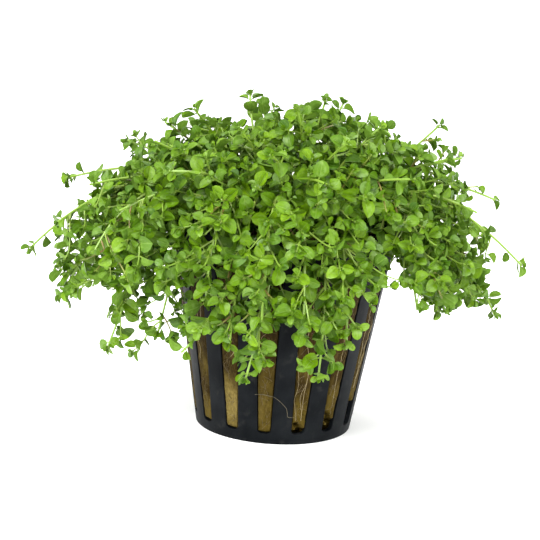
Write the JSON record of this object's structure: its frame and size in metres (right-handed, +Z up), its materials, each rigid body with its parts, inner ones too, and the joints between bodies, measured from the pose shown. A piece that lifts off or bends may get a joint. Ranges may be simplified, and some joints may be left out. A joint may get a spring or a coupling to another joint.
{
  "type": "potted dwarf baby tears",
  "caption": "Dwarf baby tears in a tapered slatted pot filled with stone wool. Thin shoots with small round leaves in crossed pairs form a dome and hang over the rim.",
  "frame": {"origin": "middle of the pot's flat base, where it rests", "axes": "+Z up along the pot's axis, -Y towards the front, where the lowest shoots hang; -Z is the base's outward normal"},
  "size_m": [0.1237, 0.0877, 0.0818],
  "materials": {
    "pot": "charcoal black moulded plastic, softly shining",
    "stone_wool": "damp yellow-brown mineral fibre with pale roots",
    "foliage": "fresh yellow-green leaves with a soft shine"
  },
  "bodies": {
    "root": {"pot": "pot", "stone_wool": "stone_wool", "shoot_back_01": "foliage", "shoot_back_02": "foliage", "shoot_back_03": "foliage", "shoot_back_04": "foliage", "shoot_back_05": "foliage", "shoot_back_06": "foliage", "shoot_back_07": "foliage", "shoot_back_08": "foliage", "shoot_crown_01": "foliage", "shoot_crown_02": "foliage", "shoot_crown_03": "foliage", "shoot_crown_04": "foliage", "shoot_crown_05": "foliage", "shoot_crown_06": "foliage", "shoot_crown_07": "foliage", "shoot_front_01": "foliage", "shoot_front_02": "foliage", "shoot_front_03": "foliage", "shoot_front_04": "foliage", "shoot_front_05": "foliage", "shoot_front_06": "foliage", "shoot_front_07": "foliage", "shoot_front_08": "foliage", "shoot_front_09": "foliage", "shoot_front_10": "foliage", "shoot_front_11": "foliage", "shoot_front_12": "foliage", "shoot_left_01": "foliage", "shoot_left_02": "foliage", "shoot_left_03": "foliage", "shoot_left_04": "foliage", "shoot_left_05": "foliage", "shoot_left_06": "foliage", "shoot_left_07": "foliage", "shoot_left_08": "foliage", "shoot_left_09": "foliage", "shoot_left_10": "foliage", "shoot_left_11": "foliage", "shoot_left_12": "foliage", "shoot_left_13": "foliage", "shoot_left_14": "foliage", "shoot_left_15": "foliage", "shoot_left_16": "foliage", "shoot_right_01": "foliage", "shoot_right_02": "foliage", "shoot_right_03": "foliage", "shoot_right_04": "foliage", "shoot_right_05": "foliage", "shoot_right_06": "foliage", "shoot_right_07": "foliage", "shoot_right_08": "foliage", "shoot_right_09": "foliage", "shoot_right_10": "foliage", "shoot_right_11": "foliage", "shoot_right_12": "foliage", "shoot_right_13": "foliage", "shoot_right_14": "foliage", "shoot_right_15": "foliage"}
  },
  "joints": []
}
